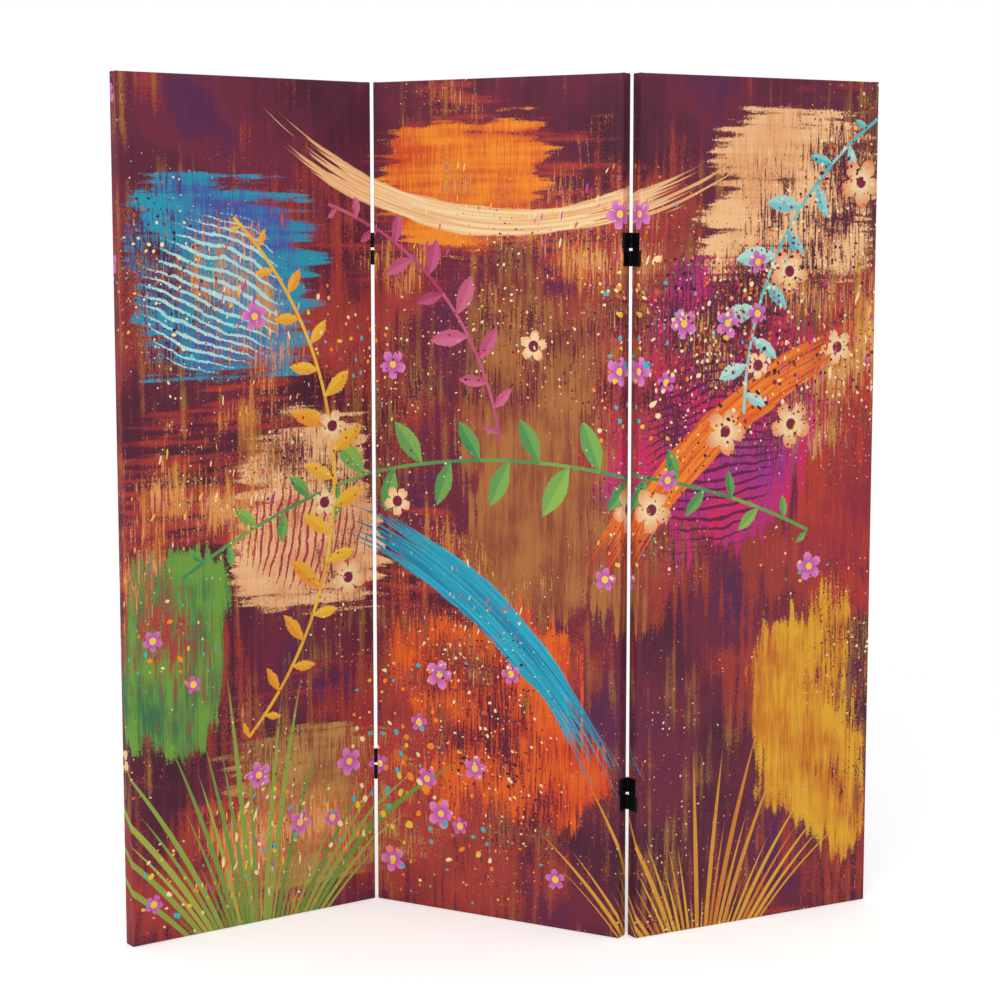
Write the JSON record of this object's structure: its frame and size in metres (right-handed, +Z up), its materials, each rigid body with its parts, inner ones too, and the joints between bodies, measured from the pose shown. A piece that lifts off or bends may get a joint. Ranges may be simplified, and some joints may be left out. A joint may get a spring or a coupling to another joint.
{
  "type": "folding screen",
  "caption": "Free-standing folding screen of tall canvas-covered timber panels joined by two-way hinges, standing in a zigzag to divide or dress a room.",
  "frame": {"origin": "centre of the bounding box in plan, on the floor under the screen", "axes": "+Z up, +X along the run of the screen from the left panel to the right one, -Y out of the front; the right fold is symmetric about the Y direction"},
  "size_m": [1.5918, 0.3886, 1.8],
  "materials": {
    "front_canvas": "printed matt canvas",
    "back_canvas": "printed matt canvas",
    "frame_timber": "planed softwood, bare",
    "hinge_steel": "satin black coating",
    "pin_steel": "satin black coating",
    "screw_steel": "black phosphate",
    "staple_wire": "galvanised wire"
  },
  "bodies": {
    "middle_panel": {"middle_panel_left_stile": "frame_timber", "middle_panel_right_stile": "frame_timber", "middle_panel_top_rail": "frame_timber", "middle_panel_upper_rail": "frame_timber", "middle_panel_lower_rail": "frame_timber", "middle_panel_bottom_rail": "frame_timber", "middle_panel_front_canvas": "front_canvas", "middle_panel_back_canvas": "back_canvas", "middle_panel_staples": "staple_wire", "middle_panel_hinge_screws": "screw_steel", "left_top_hinge_right_leaf": "hinge_steel", "left_bottom_hinge_right_leaf": "hinge_steel", "right_top_hinge_left_leaf": "hinge_steel", "right_bottom_hinge_left_leaf": "hinge_steel"},
    "left_panel": {"left_panel_left_stile": "frame_timber", "left_panel_right_stile": "frame_timber", "left_panel_top_rail": "frame_timber", "left_panel_upper_rail": "frame_timber", "left_panel_lower_rail": "frame_timber", "left_panel_bottom_rail": "frame_timber", "left_panel_front_canvas": "front_canvas", "left_panel_back_canvas": "back_canvas", "left_panel_staples": "staple_wire", "left_panel_hinge_screws": "screw_steel", "left_top_hinge_left_leaf": "hinge_steel", "left_bottom_hinge_left_leaf": "hinge_steel", "left_hinge_stub_pins": "pin_steel"},
    "right_panel": {"right_panel_left_stile": "frame_timber", "right_panel_right_stile": "frame_timber", "right_panel_top_rail": "frame_timber", "right_panel_upper_rail": "frame_timber", "right_panel_lower_rail": "frame_timber", "right_panel_bottom_rail": "frame_timber", "right_panel_front_canvas": "front_canvas", "right_panel_back_canvas": "back_canvas", "right_panel_staples": "staple_wire", "right_panel_hinge_screws": "screw_steel", "right_top_hinge_right_leaf": "hinge_steel", "right_bottom_hinge_right_leaf": "hinge_steel", "right_hinge_stub_pins": "pin_steel"},
    "left_lower_links": {"left_top_hinge_lower_link": "hinge_steel", "left_bottom_hinge_lower_link": "hinge_steel", "left_hinge_lower_pins": "pin_steel"},
    "left_upper_links": {"left_top_hinge_upper_link": "hinge_steel", "left_bottom_hinge_upper_link": "hinge_steel", "left_hinge_upper_pins": "pin_steel"},
    "right_lower_links": {"right_top_hinge_lower_link": "hinge_steel", "right_bottom_hinge_lower_link": "hinge_steel", "right_hinge_lower_pins": "pin_steel"},
    "right_upper_links": {"right_top_hinge_upper_link": "hinge_steel", "right_bottom_hinge_upper_link": "hinge_steel", "right_hinge_upper_pins": "pin_steel"}
  },
  "joints": [
    {"name": "left_fold", "type": "hinge", "parent": "middle_panel", "child": "left_lower_links", "pos_m": [-0.29217, 0.1614, 0.9], "axis": [0, 0, 1], "range_deg": [-65.4, 114.6]},
    {"name": "left_reverse_fold", "type": "hinge", "parent": "left_lower_links", "child": "left_panel", "pos_m": [-0.31296, 0.18955, 0.9], "axis": [0, 0, 1], "range_deg": [-90, 0]},
    {"name": "left_upper_link_swing", "type": "hinge", "parent": "middle_panel", "child": "left_upper_links", "pos_m": [-0.27523, 0.19202, 0.9], "axis": [0, 0, 1], "range_deg": [-90, 0]},
    {"name": "right_fold", "type": "hinge", "parent": "middle_panel", "child": "right_lower_links", "pos_m": [0.25365, -0.10053, 0.9], "axis": [0, 0, 1], "range_deg": [-57.9, 122.1]},
    {"name": "right_reverse_fold", "type": "hinge", "parent": "right_lower_links", "child": "right_panel", "pos_m": [0.27059, -0.13116, 0.9], "axis": [0, 0, 1], "range_deg": [-90, 0]},
    {"name": "right_upper_link_swing", "type": "hinge", "parent": "middle_panel", "child": "right_upper_links", "pos_m": [0.23671, -0.13116, 0.9], "axis": [0, 0, 1], "range_deg": [-90, 0]}
  ],
  "couplings": [
    {"joint": "left_upper_link_swing", "follows": "left_reverse_fold", "ratio": 1},
    {"joint": "right_upper_link_swing", "follows": "right_reverse_fold", "ratio": 1}
  ]
}
